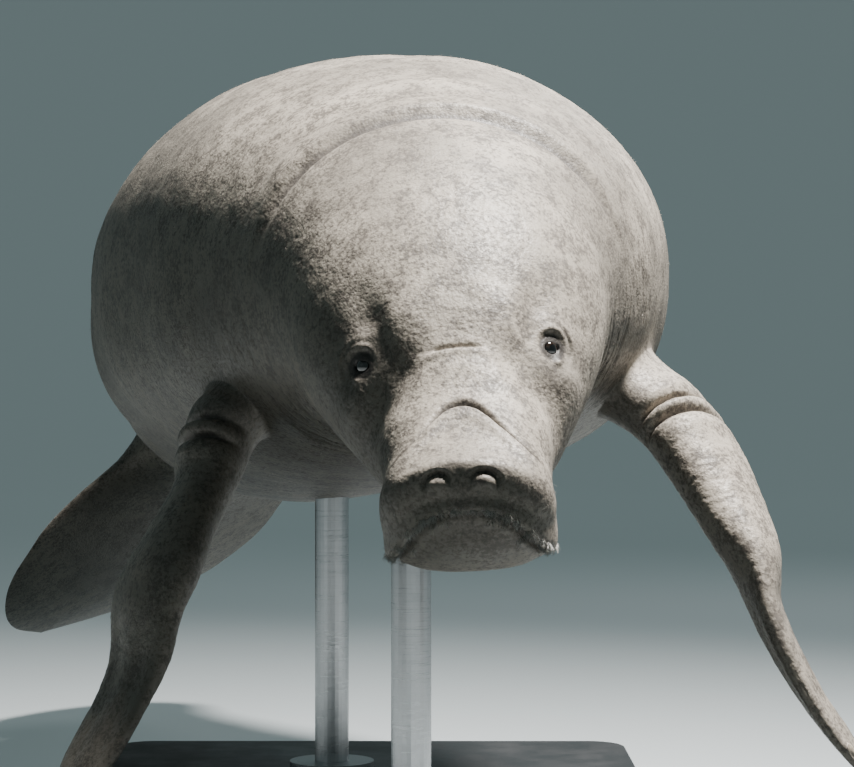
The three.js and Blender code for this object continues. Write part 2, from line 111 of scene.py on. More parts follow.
# Distance from the nose, half width, reach up and down, and the powers of the outline's curve
# above and below the midline
SECTIONS = np.array([
    [0, 96, 96, 91, 2.2, 2.5], [55, 96, 89, 100, 2.3, 2.7], [105, 93, 87, 96, 2.2, 2.4],
    [150, 96, 88, 101, 2.2, 2.3], [205, 120, 102, 115, 2.1, 2.2], [270, 147, 130, 134, 2.1, 2.1],
    [340, 173, 155, 159, 2.1, 2.1], [460, 208, 194, 190, 2.1, 2.2],
    [650, 290, 250, 238, 2.05, 2.4], [900, 368, 298, 284, 2.05, 2.5],
    [1250, 416, 323, 318, 2.1, 2.3], [1550, 400, 311, 305, 2.1, 2.2],
    [1850, 330, 261, 256, 2.1, 2.1], [2060, 236, 184, 188, 2.1, 2.1],
    [2200, 200, 128, 124, 2, 2], [2310, 218, 80, 76, 1.8, 1.8], [2430, 278, 48, 46, 1.5, 1.5],
    [2550, 320, 33, 31, 1.4, 1.4], [2670, 324, 24, 22, 1.4, 1.4], [2860, 303, 13, 12, 1.4, 1.4],
], float)

# Folds across the back, finer than in the solids: distance from the nose at the midline, how far
# it swings forward, degrees over which it does, height, width along the body, where it dies out
CREASES = [
    [136, 72, 28, -10, 5.4, 105], [117, 72, 28, 4.5, 10, 100], [126, 72, 28, 3, 3.4, 100],
    [219, 4, 40, -3.6, 2.0, 17], [212, 4, 40, 2.0, 4.0, 26], [196, 4, 40, 2, 14, 45],
    [550, 32, 55, -7, 5.5, 88], [564, 32, 55, 5, 5, 88], [580, 32, 55, 5, 13, 85],
    [609, 32, 55, -2.5, 9, 80],
    [655, 36, 60, 3, 13, 66], [634, 36, 60, -2, 7, 66], [702, 34, 60, -1.6, 6, 60],
    [748, 34, 60, -1.6, 6, 60], [797, 34, 60, -1.4, 7, 60], [730, 34, 60, 1.2, 9, 60],
]
CREST_ANGLE = 90

# Swellings, alike on both sides: distance from the nose, degrees from the midline, height,
# spread along the body, spread in degrees
SWELLINGS = [
    [150, 66, 4, 24, 20], [212, 30, -8, 17, 10], [198, 50, -11, 17, 12], [186, 72, -10, 17, 14],
    [228, 76, 5, 16, 14], [251, 54, -5, 20, 12], [271, 52, 4, 9, 12], [276, 37, -8, 28, 6],
    [268, 22, 4, 26, 10], [330, 85, 5, 50, 22],
]

# The mouth is an arch across the front, over a jaw set in from the lips
MOUTH_RISE = 40
MOUTH_DROP = 164
MOUTH_HALF_WIDTH = 105
MOUTH_CURVE = 2.8
MOUTH_LINE_WIDTH = 2.0
MOUTH_LINE_DEPTH = 8
JAW_END = 150
JAW_EDGE = 1.2
LIP_OVERHANG = 4
LIP_SET_BACK = 10

# Rolls of the lips: height, distance above the mouth line, spread
LIP_ROLLS = [[3.0, 8, 4.5], [2.0, -8, 4], [-1.2, 19, 3]]

# Distance from the nose and degrees round the body
NOSTRILS = [[7.6, 75], [8, 109]]
EYES = {"eye_left": [251, 36], "eye_right": [251, 144]}

NOSTRIL_REACH = 40
NOSTRIL_SIZE = [17, 12]
NOSTRIL_DEPTH = 8
VALVE_SIZE = [14.5, 10.5]
VALVE_FOOT = -6
VALVE_DOME = 12
VALVE_FRONT = 4.2

EYE_RADIUS = 12.0
EYE_HALF_LENGTH = 10.6
EYE_HALF_HEIGHT = 7.0
EYE_CURVE = 1.7
EYE_TURN = 0.22
EYE_REACH = 46
LID_EDGE = 13

# Each flipper's middle line, then by share of its length the turn of its chord in degrees, and
# its half chord and half thickness
LEFT_FLIPPER = {
    "points": [[340, -505, 697], [422, -548, 636], [467, -598, 574], [512, -638, 474],
               [530, -662, 392], [572, -690, 307], [657, -732, 181]],
    "turns": np.array([[0, 12], [0.3, 30], [0.6, 2], [1, 17]], float),
    "sections": np.array([
        [0, 100, 59], [0.12, 91, 48], [0.22, 84, 44], [0.34, 84, 41], [0.48, 94, 38],
        [0.62, 98, 20], [0.76, 86, 16], [0.9, 62, 12], [1, 40, 10],
    ], float),
    "outer": -1, "side": "left",
}
RIGHT_FLIPPER = {
    "points": [[-111, -485, 690], [-171, -530, 614], [-194, -570, 541], [-226, -610, 479],
               [-258, -640, 407], [-272, -662, 318], [-361, -722, 144]],
    "turns": np.array([[0, -3], [0.3, -7], [0.6, -30], [1, -30]], float),
    "sections": np.array([
        [0, 100, 59], [0.12, 92, 48], [0.22, 84, 45], [0.34, 84, 36], [0.48, 99, 37],
        [0.62, 86, 25], [0.76, 72, 14], [0.9, 70, 13], [1, 44, 10],
    ], float),
    "outer": 1, "side": "right",
}
FLIPPER_TIP = 0.16
FLIPPER_LENGTH = 660
FLIPPER_WRAP = [70, 35]
FINGER_BONES = 7

# Rolls of the shoulder across the flipper: share of its length, height, spread
SHOULDER_ROLLS = [
    [0.155, 7, 0.02], [0.191, -11, 0.0048], [0.211, 7, 0.011], [0.232, -10, 0.0048],
    [0.26, 6, 0.017],
]
ROLL_TURN = 45

# Nails: share of the flipper's length, degrees off its outer side; then half width, length, height
NAILS = [[0.925, -52], [0.95, -26], [0.955, 2]]
NAIL_SIZE = [6.5, 11, 4]

# Distances over which directions on the skin are taken
BESIDE_AT = 3
BESIDE_DEGREES = 1.15
BESIDE_SHARE = 0.01
BESIDE_FIN_DEGREES = 2.9


# The body as functions
def rows_at(table, at, column):
    """A smooth, never overshooting curve through one column of a table."""
    x = table[:, 0]
    y = table[:, column]
    at = np.clip(np.asarray(at, float), x[0], x[-1])
    slope = np.diff(y) / np.diff(x)
    tangent = np.empty(len(x))
    tangent[0], tangent[-1] = slope[0], slope[-1]
    before, after = slope[:-1], slope[1:]
    rising = before * after > 0
    total = np.where(rising, before + after, 1)
    tangent[1:-1] = np.where(rising, 2 * before * after / total, 0)
    i = np.clip(np.searchsorted(x, at, side="left") - 1, 0, len(x) - 2)
    span = x[i + 1] - x[i]
    t = (at - x[i]) / span
    start = 2 * t**3 - 3 * t**2 + 1
    return (start * y[i] + (t**3 - 2 * t**2 + t) * span * tangent[i]
            + (1 - start) * y[i + 1] + (t**3 - t**2) * span * tangent[i + 1])


def headings(at):
    """The midline's directions along and level to the side, before it rolls."""
    yaw = np.radians(rows_at(HEADING, at, 1))
    pitch = np.radians(rows_at(HEADING, at, 2))
    along = np.stack([np.sin(yaw) * np.cos(pitch), np.cos(yaw) * np.cos(pitch), np.sin(pitch)], -1)
    side = np.stack([np.cos(yaw), -np.sin(yaw), 0 * yaw], -1)
    return along, side


STEP = 5
walk = np.arange(0, BODY_LENGTH, STEP)
walked = np.vstack([np.zeros(3), np.cumsum(headings(walk + STEP / 2)[0] * STEP, 0)])
walked += ANCHOR - walked[ANCHOR_AT // STEP]
walk_at = np.arange(len(walked)) * STEP


def spine_frame(at):
    """The midline's place at a distance from the nose, with its directions along, aside and up."""
    at = np.asarray(at, float)
    centre = np.stack([np.interp(at, walk_at, walked[:, i]) for i in range(3)], -1)
    along, side = headings(at)
    roll = -np.radians(rows_at(HEADING, at, 3))[..., None]
    side = side * np.cos(roll) + np.cross(along, side) * np.sin(roll)
    up = np.cross(side, along)
    up /= np.linalg.norm(up, axis=-1, keepdims=True)
    return centre, along, side, up


def bell(distance, spread):
    return np.exp(-0.5 * (distance / spread) ** 2)


def turn_between(a, b):
    return (a - b + 540) % 360 - 180


def smooth_step(value, low, high):
    t = np.clip((value - low) / (high - low), 0, 1)
    return t * t * (3 - 2 * t)


def crease_field(at, degrees):
    """Height of the folds across the back."""
    off = np.abs(turn_between(degrees, CREST_ANGLE))
    height = 0
    for place, swing, swing_degrees, rise, spread, end in CREASES:
        forward = swing * (1 - np.exp(-((off / swing_degrees) ** 2)))
        fade = np.minimum(2 * smooth_step(1 - off / end, 0, 1), 1)
        height = height + rise * bell(at - place + forward, spread) * fade
    return height


def relief(at, degrees):
    """Height of the folds and swellings over the plain body."""
    height = crease_field(at, degrees)
    off = np.abs(turn_between(degrees, CREST_ANGLE))
    for place, turn, rise, spread, spread_turn in SWELLINGS:
        height = height + rise * bell(at - place, spread) * bell(off - turn, spread_turn)
    return height


def signed_power(value, power):
    return np.sign(value) * np.abs(value) ** power


def body_points(at, degrees, grow=0.0, set_back=0.0):
    """Points of the skin, for arrays of distances from the nose and degrees round the body."""
    centre, along, side, up = spine_frame(at)
    angle = np.radians(degrees)
    dome = NOSE_DOME + (NOSE_DOME_TOP - NOSE_DOME) * np.maximum(np.sin(angle), 0) ** 1.5
    nose = np.minimum(at / dome, 1)
    front = (1 - (1 - nose) ** NOSE_DOME_POWER) ** (1 / NOSE_DOME_POWER)
    left = np.minimum((BODY_LENGTH - at) / TAIL_ROUND, 1)
    back = np.sqrt(np.maximum(1 - (1 - left) ** 2, 0))
    upper = np.sin(angle) > 0
    power = 2 / np.where(upper, rows_at(SECTIONS, at, 4), rows_at(SECTIONS, at, 5))
    reach = np.where(upper, rows_at(SECTIONS, at, 2), rows_at(SECTIONS, at, 3))
    extra = grow + relief(at, degrees) * front
    across = signed_power(np.cos(angle), power) * (rows_at(SECTIONS, at, 1) * back * front + extra)
    upright = reach * front * np.maximum(back, TAIL_EDGE) + extra
    height = signed_power(np.sin(angle), power) * upright
    bow = np.where(upper, FACE_BOW_UP, FACE_BOW_DOWN)
    in_face = np.maximum(1 - at / FACE_BOW_LENGTH, 0) ** 1.5
    forward = (FACE_LEAN * height - bow * height**2) * in_face
    return (centre + side * across[..., None] + up * height[..., None]
            + along * (set_back - forward)[..., None])


def place_on_body(at, degrees):
    """A point of the skin with its outward, tailward and third direction."""
    grid = body_points(np.array([at, at + BESIDE_AT, at]),
                       np.array([degrees, degrees, degrees + BESIDE_DEGREES]))
    normal = np.cross(grid[1] - grid[0], grid[2] - grid[0])
    normal /= np.linalg.norm(normal)
    along = headings(np.array(at))[0]
    back = along - normal * (along @ normal)
    back /= np.linalg.norm(back)
    return grid[0], normal, back, np.cross(normal, back)


# Noise
def noise(points, size, seed):
    """Smooth noise, about -0.7 to 0.7, with lumps of the given size."""
    p = points / size
    cell = np.floor(p).astype(np.int64)
    f = p - cell
    w = f * f * f * (f * (f * 6 - 15) + 10)
    total = np.zeros(p.shape[:-1])
    for corner in range(8):
        d = np.array([corner & 1, corner >> 1 & 1, corner >> 2 & 1])
        x, y, z = np.moveaxis(cell + d, -1, 0)
        h = (x * 73856093) ^ (y * 19349663) ^ (z * 83492791) ^ (seed * 2654435761)
        h = (h ^ (h >> 13)) * 1274126177 & 0xFFFFFFFF
        h = (h ^ (h >> 16)) * 2246822519 & 0xFFFFFFFF
        h ^= h >> 15
        gradient = np.stack([h & 1023, h >> 10 & 1023, h >> 20 & 1023], -1) / 511.5 - 1
        share = np.where(d == 1, w, 1 - w).prod(-1)
        total += share * (gradient * (f - d)).sum(-1)
    return total


def wrinkle_lines(points, size, seed, sharpness=0.07):
    """Thin winding lines, 1 on the line and 0 away from it."""
    return np.exp(-((noise(points, size, seed) / sharpness) ** 2))


# Grids
def grid_normals(points):
    along = np.gradient(points, axis=0)
    around = np.roll(points, -1, 1) - np.roll(points, 1, 1)
    normal = np.cross(along, around)
    return normal / np.maximum(np.linalg.norm(normal, axis=-1, keepdims=True), 1e-9)


def set_points(mesh, points):
    mesh.vertices.foreach_set("co", points.astype(np.float32).ravel())


def read_points(mesh):
    co = np.empty(len(mesh.vertices) * 3, np.float32)
    mesh.vertices.foreach_get("co", co)
    return co.reshape(-1, 3).astype(float)


def add_value(mesh, key, value):
    """A number for every vertex, which a material reads by its name."""
    mesh.attributes.new(key, "FLOAT", "POINT").data.foreach_set("value", value.astype(np.float32))


def read_value(mesh, key):
    value = np.empty(len(mesh.vertices), np.float32)
    mesh.attributes[key].data.foreach_get("value", value)
    return value.astype(float)


def closed_mesh(name, points, values):
    """A closed mesh from a grid of rings, with a vertex at each end and float attributes."""
    rings, count = points.shape[:2]
    r, k = np.meshgrid(np.arange(rings - 1), np.arange(count), indexing="ij")
    following = (k + 1) % count
    quads = np.stack([r * count + k, (r + 1) * count + k, (r + 1) * count + following,
                      r * count + following], -1).reshape(-1, 4)
    first, last = rings * count, rings * count + 1
    ring = np.arange(count)
    after = (ring + 1) % count
    start = np.stack([np.full(count, first), ring, after], -1)
    base = (rings - 1) * count
    end = np.stack([np.full(count, last), base + after, base + ring], -1)
    verts = np.vstack([points.reshape(-1, 3), points[0].mean(0), points[-1].mean(0)]) * MM
    mesh = bpy.data.meshes.new(name)
    mesh.from_pydata(verts.tolist(), [], quads.tolist() + start.tolist() + end.tolist())
    for key, value in values.items():
        flat = np.broadcast_to(value, points.shape[:2])
        add_value(mesh, key, np.concatenate([flat.ravel(), [flat[0].mean(), flat[-1].mean()]]))
    return new_object(name, mesh)


# The body's rings: how many vertices each has, and where those lie closer together, by degrees
# round the body, spread and gain; then the gap between rings up to a distance from the nose
RING_VERTICES = 560
CLOSER_ANGLES = [[36, 7, 1.6], [144, 7, 1.6], [77, 6, 0.7], [103, 6, 0.7], [90, 45, 0.7]]
NOSE_RINGS = 52
RING_GAPS = [
    [165, 1.25], [205, 1.8], [300, 1.25], [440, 2.6], [640, 2.6], [860, 4], [2340, 7],
    [BODY_LENGTH - TAIL_ROUND, 6],
]
TAIL_RINGS = 48


def ring_angles():
    fine = np.linspace(0, 360, 7201)
    density = 1 + sum(gain * bell(turn_between(fine, spot), spread)
                      for spot, spread, gain in CLOSER_ANGLES)
    total = np.concatenate([[0], np.cumsum((density[1:] + density[:-1]) / 2)])
    return np.interp(np.arange(RING_VERTICES) / RING_VERTICES, total / total[-1], fine)


def body_stations():
    steps = np.linspace(0, math.pi / 2, NOSE_RINGS)[1:]
    places = list(NOSE_DOME * (1 - np.cos(steps) ** (2 / NOSE_DOME_POWER)))
    here = places[-1]
    for end, gap in RING_GAPS:
        count = max(round((end - here) / gap), 1)
        places += list(here + (end - here) * np.arange(1, count + 1) / count)
        here = end
    turn = np.linspace(0, math.pi / 2, TAIL_RINGS)[1:-1]
    places += list(here + (BODY_LENGTH - here) * np.sin(turn))
    return np.array(places)


at_grid, turn_grid = np.broadcast_arrays(body_stations()[:, None], ring_angles()[None, :])
crest_off = np.abs(turn_between(turn_grid, CREST_ANGLE))

# The jaw lies under the arch of the mouth, set in from the upper lips
body = body_points(at_grid, turn_grid)
jaw_share = np.maximum(1 - at_grid / JAW_END, 0)
jaw = body_points(at_grid, turn_grid, -LIP_OVERHANG * jaw_share, LIP_SET_BACK * jaw_share)
nose_centre, _, nose_side, nose_up = spine_frame(np.array(0.0))
across = (body - nose_centre) @ nose_side
height = (body - nose_centre) @ nose_up
mouth_share = np.abs(across) / MOUTH_HALF_WIDTH
arch = MOUTH_RISE - MOUTH_DROP * mouth_share**MOUTH_CURVE
arch_slope = MOUTH_DROP * MOUTH_CURVE / MOUTH_HALF_WIDTH * mouth_share ** (MOUTH_CURVE - 1)
from_mouth = (height - arch) / np.hypot(1, arch_slope)
near_front = smooth_step(JAW_END - at_grid, 0, 45)
in_jaw = smooth_step(-from_mouth, -JAW_EDGE, JAW_EDGE) * (jaw_share > 0)
body = body + (jaw - body) * in_jaw[..., None]
normal = grid_normals(body)
mouth_line = bell(from_mouth, MOUTH_LINE_WIDTH) * near_front
lips = sum(rise * bell(from_mouth - above, spread) for rise, above, spread in LIP_ROLLS)
body = body + normal * (lips * near_front - MOUTH_LINE_DEPTH * mouth_line)[..., None]


# Folds and wrinkles, in millimetres along the normal
def wrinkle_layers(layers):
    """Wrinkles added up, from the points, size, seed and height of each layer."""
    return sum(wrinkle_lines(points, np.array(size), seed) * rise
               for points, size, seed, rise in layers)


def lump_layers(points, layers):
    """Lumps added up, from the size, seed and height of each layer."""
    return sum(noise(points, size, seed) * rise for size, seed, rise in layers)


BODY_WRAP = 130

wander = np.stack([noise(body, 60, seed) for seed in (11, 12, 13)], -1) * 12
winding = wander + np.stack([at_grid, np.cos(np.radians(turn_grid)) * BODY_WRAP,
                             np.sin(np.radians(turn_grid)) * BODY_WRAP], -1)
neck_zone = bell(at_grid - 520, 110)
throat_zone = neck_zone * smooth_step(crest_off, 80, 130)
stock_zone = bell(at_grid - 2180, 170)
muzzle_zone = smooth_step(300 - at_grid, 0, 120) * smooth_step(at_grid, 20, 70)
under = smooth_step(crest_off, 50, 110)
tail_edge = smooth_step(at_grid, 2300, 2450)
wrinkles = wrinkle_layers([
    [winding, (15, 80, 80), 21, neck_zone * (0.3 + 0.7 * under) + 1.5 * throat_zone],
    [winding, (26, 60, 60), 22, 1.2 * stock_zone + 0.2],
    [winding, (7, 34, 34), 23, 0.2 * muzzle_zone + 0.25 * neck_zone],
    [body + wander, 30, 24, 0.25],
])
swell = (noise(body, 170, 1) * 7 * smooth_step(at_grid, 600, 950)
         * smooth_step(BODY_LENGTH - at_grid, 60, 500))
lumps = lump_layers(body, [[26, 31, 0.8], [9, 32, 0.3], [4.5, 33, 0.25]])
detail = swell - wrinkles + lumps * (0.6 + 0.4 * smooth_step(at_grid, 0, 300))
detail = detail * (1 - 0.75 * tail_edge)

# Painted shade: darker skin colour in the folds and in the hollow between each eye and the bridge
fold_shade = wrinkles / 2.5 + mouth_line * 1.5 - np.minimum(crease_field(at_grid, turn_grid), 0) / 5
fold_shade = fold_shade + 0.55 * bell(at_grid - 272, 26) * bell(crest_off - 38, 7)


def nostril_shape(u, v):
    """Height of a hollow shaped like a crescent over a domed valve, and the share of its size."""
    share = np.hypot(u / NOSTRIL_SIZE[0], (v - 1) / NOSTRIL_SIZE[1])
    valve_share = np.hypot(u / VALVE_SIZE[0], (v + 3) / VALVE_SIZE[1])
    over = smooth_step(v, -9, 1)
    hollow = -NOSTRIL_DEPTH * (1 - smooth_step(share, 0.45, 1.15)) * over
    dome = VALVE_FOOT + VALVE_DOME * np.sqrt(np.maximum(1 - valve_share**2, 0))
    dome = np.where(valve_share < 1, dome, VALVE_FOOT) * over
    dome = dome + (1 - over) * VALVE_FRONT * (1 - smooth_step(valve_share, 0, 1.5))
    rim = 0.6 * bell(share - 1.2, 0.16) * over
    return np.maximum(hollow, dome) + rim, share


nostril_shade = np.zeros(body.shape[:2])
for at, degrees in NOSTRILS:
    here, _, back, side = place_on_body(at, degrees)
    offset = body - here
    shape, share = nostril_shape(offset @ side, offset @ back)
    close = np.linalg.norm(offset, axis=-1) < NOSTRIL_REACH
    settle = (1 - smooth_step(share, 1.3, 2.0)) * close
    detail = detail * (1 - settle) + (shape + 0.3 * lumps) * settle
    # Painted shade: the skin's colour is darkened in the hollow over each valve
    nostril_shade = np.maximum(nostril_shade, settle * smooth_step(-shape, 2.5, 7))
body = body + normal * detail[..., None]


def eye_frame(name, at, degrees):
    """The ball's centre with the directions outward, tailward and up the eyelids."""
    _, out, _, _ = place_on_body(at, degrees)
    forward = headings(np.array(at))[0]
    out = out - EYE_TURN * forward
    out /= np.linalg.norm(out)
    rise = np.array([0.0, 0.0, 1.0]) - out * out[2]
    rise /= np.linalg.norm(rise)
    back = np.cross(rise, out)
    back *= np.sign(back @ forward)
    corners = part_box(name)
    return np.array((corners[0] + corners[1]) / 2) / MM, out, back, rise


def eyelid_folds(u, v, r, gap):
    """Height of the folds above the lids, the bag below them and the ring round both."""
    above = smooth_step(v, -3, 4)
    wide = bell(u - 1, 12)
    upper = 1.2 * bell(gap - 3.5, 2.4) - 1.5 * bell(gap - 9, 3.0) + 2.4 * bell(gap - 16, 3.0)
    lower = 0.6 * bell(gap - 2.2, 1.8) + 4.2 * bell(u - 4, 5.5) * bell(gap - 9, 3.8)
    ring = -1.5 * bell(r - 28, 2.4) + 1.4 * bell(r - 34, 3.2)
    ring = ring * smooth_step(u, 4, 20) * bell(v - 6, 15)
    return above * upper * wide + (1 - above) * lower * wide + ring


def ball_height(r, radius):
    return np.sqrt(np.maximum(radius**2 - r**2, 0))


# Eyes: lids over the ball, open in a rounded slit
eye_places = {}
dark_lid_and_shade = np.zeros(body.shape[:2])
for name, (at, degrees) in EYES.items():
    eye_places[name] = centre, out, back, rise = eye_frame(name, at, degrees)
    offset = body - centre
    u, v, w = offset @ back, offset @ rise, offset @ out
    r = np.hypot(u, v)
    close = (r < EYE_REACH) & (w > -6)
    beyond = (np.abs(u / EYE_HALF_LENGTH) ** EYE_CURVE
              + np.abs(v / EYE_HALF_HEIGHT) ** EYE_CURVE) ** (1 / EYE_CURVE)
    gap = r - r / np.maximum(beyond, 1e-6)
    folds = eyelid_folds(u, v, r, gap) * smooth_step(EYE_REACH - 2 - r, 0, 14)
    lifted = w + (folds - 3.2 * bell(np.hypot(u, v - 2), 16))
    over_ball = np.maximum(lifted, ball_height(r, EYE_RADIUS + 0.6))
    lifted = np.where(r < LID_EDGE, over_ball, lifted)
    open_share = smooth_step(-gap, -0.5, 0.7)
    lifted = lifted * (1 - open_share) + ball_height(r, EYE_RADIUS - 1.2) * open_share
    body = body + out * np.where(close, lifted - w, 0)[..., None]
    # Darker skin round each eye, partly its own colour and partly painted shade under the lids
    dark_lid_and_shade = np.maximum(dark_lid_and_shade, close * (1 - smooth_step(gap, 5, 14)) * (v > -14))
    # Painted shade in the grooves of the lids and along the lid edge
    fold_shade = fold_shade + close * (np.clip(-folds, 0, 2.5) * 0.3 + bell(gap - 0.2, 1.2))

skin = closed_mesh("skin", body, {
    "at": at_grid, "fin": 0.0, "fold_shade": np.clip(fold_shade, 0, 2), "lid_skin_and_shade": dark_lid_and_shade, "pit_shade": nostril_shade,
})


# Flippers
def catmull_rom(points, samples=2000):
    """The solids' flipper line, evenly spaced by length: centripetal through its points."""
    p = np.array(points, float)
    p = np.vstack([2 * p[0] - p[1], p, 2 * p[-1] - p[-2]])
    out = []
    per = samples // (len(p) - 3)
    for i in range(1, len(p) - 2):
        p0, p1, p2, p3 = p[i - 1:i + 3]
        d0, d1, d2 = (np.linalg.norm(b - a) ** 0.5 for a, b in ((p0, p1), (p1, p2), (p2, p3)))
        t1 = ((p1 - p0) / d0 - (p2 - p0) / (d0 + d1) + (p2 - p1) / d1) * d1
        t2 = ((p2 - p1) / d1 - (p3 - p1) / (d1 + d2) + (p3 - p2) / d2) * d1
        t = np.linspace(0, 1, per, endpoint=i == len(p) - 3)[:, None]
        out.append(p1 + t1 * t + (-3 * p1 + 3 * p2 - 2 * t1 - t2) * t**2
                   + (2 * p1 - 2 * p2 + t1 + t2) * t**3)
    line = np.vstack(out)
    length = np.concatenate([[0], np.cumsum(np.linalg.norm(np.diff(line, axis=0), axis=1))])
    return line, length / length[-1]


def rolled_side(flipper, degrees):
    return np.maximum(np.cos(np.radians(degrees - 180 + flipper["outer"] * ROLL_TURN)), 0) ** 1.5


def flipper_points(flipper, share, degrees):
    """Points of a flipper, for arrays of shares of its length and degrees round it."""
    line, along_line = flipper["line"]
    centre = np.stack([np.interp(share, along_line, line[:, i]) for i in range(3)], -1)
    tangents = np.gradient(line, axis=0)
    tangents /= np.linalg.norm(tangents, axis=1, keepdims=True)
    along = np.stack([np.interp(share, along_line, tangents[:, i]) for i in range(3)], -1)
    along /= np.linalg.norm(along, axis=-1, keepdims=True)
    turn = np.radians(rows_at(flipper["turns"], share, 1))
    chord = np.stack([np.sin(turn), np.cos(turn), 0 * turn], -1)
    chord = chord - along * (along * chord).sum(-1, keepdims=True)
    chord /= np.linalg.norm(chord, axis=-1, keepdims=True)
    thick = np.cross(chord, along)
    angle = np.radians(degrees)
    tip = np.sqrt(np.maximum(1 - np.maximum((share - 1) / FLIPPER_TIP + 1, 0) ** 2, 0))
    roll = 0
    for place, rise, spread in SHOULDER_ROLLS:
        roll = roll + rise * bell(share - place, spread) * rolled_side(flipper, degrees)
    half_chord = rows_at(flipper["sections"], share, 1) * tip + roll
    half_thick = rows_at(flipper["sections"], share, 2) * np.maximum(tip, 0.3) + roll
    blade = 1 - 0.3 * np.sin(math.pi * share) * np.cos(angle)
    return (centre + chord * (np.cos(angle) * half_chord)[..., None]
            + thick * (np.sin(angle) * half_thick * blade)[..., None])


def nail_frame(flipper, share, off):
    """A nail's place on the flipper with the directions beside, ahead and outward."""
    share = np.array(share)
    degrees = np.array(flipper["outer"] * (90 - off))
    here = flipper_points(flipper, share, degrees)
    ahead = flipper_points(flipper, share + BESIDE_SHARE, degrees) - here
    ahead /= np.linalg.norm(ahead)
    around = flipper_points(flipper, share, degrees + BESIDE_FIN_DEGREES) - here
    out = np.cross(ahead, around)
    out /= np.linalg.norm(out)
    if out @ (here - flipper_points(flipper, share, degrees + 180)) < 0:
        out = -out
    return here, np.cross(ahead, out), ahead, out


def flipper_shares():
    """Shares of the length at which the rings lie, closest over the shoulder's rolls."""
    tip = np.sin(np.linspace(0, math.pi / 2, 52)[1:-1])
    return np.concatenate([
        np.linspace(0.002, 0.13, 30, endpoint=False), np.linspace(0.13, 0.29, 84, endpoint=False),
        np.linspace(0.29, 1 - FLIPPER_TIP, 150), 1 - FLIPPER_TIP + FLIPPER_TIP * tip,
    ])


nail_places = {}


def make_flipper(flipper, number):
    flipper["line"] = catmull_rom(flipper["points"])
    share, degrees = np.broadcast_arrays(flipper_shares()[:, None], np.arange(0, 360, 2.0)[None, :])
    angle = np.radians(degrees)
    points = flipper_points(flipper, share, degrees)
    normals = grid_normals(points)
    winding = np.stack([share * FLIPPER_LENGTH, np.cos(angle) * FLIPPER_WRAP[0],
                        np.sin(angle) * FLIPPER_WRAP[1]], -1)
    winding = winding + noise(points, 40, 51 + number)[..., None] * np.array([14, 8, 8])
    elbow = bell(share - 0.36, 0.07)
    wrinkles = wrinkle_layers([
        [winding, (11, 60, 60), 52, 0.2 + 0.5 * elbow],
        [winding, (22, 40, 40), 53, 0.25],
        [points, 24, 54, 0.25],
    ])
    lumps = lump_layers(points, [[18, 55, 0.9], [7, 56, 0.4]])
    thin = 1 - 0.6 * smooth_step(share, 0.8, 1)
    bones = np.cos(angle * FINGER_BONES) * 1.3 * smooth_step(share, 0.5, 0.7) * thin
    detail = (lumps - wrinkles) * thin + bones
    roll_line = sum(bell(share - place, spread) * rolled_side(flipper, degrees)
                    for place, rise, spread in SHOULDER_ROLLS if rise < 0)
    for index, (nail_share, off) in enumerate(NAILS):
        here, side, ahead, out = nail_frame(flipper, nail_share, off)
        nail_places[f"nail_{flipper['side']}_{index + 1}"] = (here, side, ahead, out)
        offset = points - here
        rim = np.hypot(offset @ side / NAIL_SIZE[0], offset @ ahead / NAIL_SIZE[1])
        cuticle = 1.8 * bell(rim - 1.2, 0.2) * smooth_step(-(offset @ ahead), -6, 6)
        bed = 1.5 * smooth_step(1 - rim, 0, 0.3)
        detail = detail + (normals @ out > 0) * (cuticle - bed)
    points = points + normals * detail[..., None]
    # Painted shade: the skin's colour is darkened in the wrinkles and the grooves between the
    # shoulder's rolls
    return closed_mesh("flipper_skin", points, {
        "at": 5000.0 + share * 1000, "fin": float(number),
        "fold_shade": np.clip(wrinkles / 2 + roll_line * 1.2, 0, 2), "lid_skin_and_shade": 0.0, "pit_shade": 0.0,
    })


flippers = [make_flipper(LEFT_FLIPPER, 1), make_flipper(RIGHT_FLIPPER, 2)]


# One skin
def union(base, others):
    for other in others:
        cut = base.modifiers.new("join", "BOOLEAN")
        cut.operation = "UNION"
        cut.solver = "MANIFOLD"
        cut.object = other
    graph = bpy.context.evaluated_depsgraph_get()
    joined = bpy.data.meshes.new_from_object(base.evaluated_get(graph))
    base.modifiers.clear()
    base.data = joined
    for other in others:
        bpy.data.objects.remove(other)


def split_large_faces(work):
    bmesh.ops.triangulate(work, faces=[f for f in work.faces if len(f.verts) > 4])


def edge_list(mesh):
    pairs = np.empty(len(mesh.edges) * 2, np.int64)
    mesh.edges.foreach_get("vertices", pairs)
    return pairs.reshape(-1, 2)


def distance_from_seam(points, seam_points, margin, chunk=4000):
    """Distances from the nearest point of the seam, worked out only within a margin of it."""
    distance = np.full(len(points), 1e9)
    low, high = seam_points.min(0) - margin, seam_points.max(0) + margin
    inside = np.nonzero(((points > low) & (points < high)).all(1))[0]
    for start in range(0, len(inside), chunk):
        part = inside[start:start + chunk]
        apart = points[part][:, None] - seam_points[None]
        distance[part] = np.sqrt((apart**2).sum(-1).min(1))
    return distance


def relax(points, edges, weight, rounds):
    """Draws each vertex towards the middle of its neighbours."""
    touched = weight > 0
    a, b = edges[touched[edges[:, 0]] | touched[edges[:, 1]]].T
    size = len(points)
    degree = np.bincount(a, minlength=size) + np.bincount(b, minlength=size)
    degree = np.maximum(degree, 1)
    points = points.copy()
    for _ in range(rounds):
        mean = np.stack([np.bincount(a, points[b, i], size) + np.bincount(b, points[a, i], size)
                         for i in range(3)], 1) / degree[:, None]
        points += (mean - points) * weight[:, None]
    return points


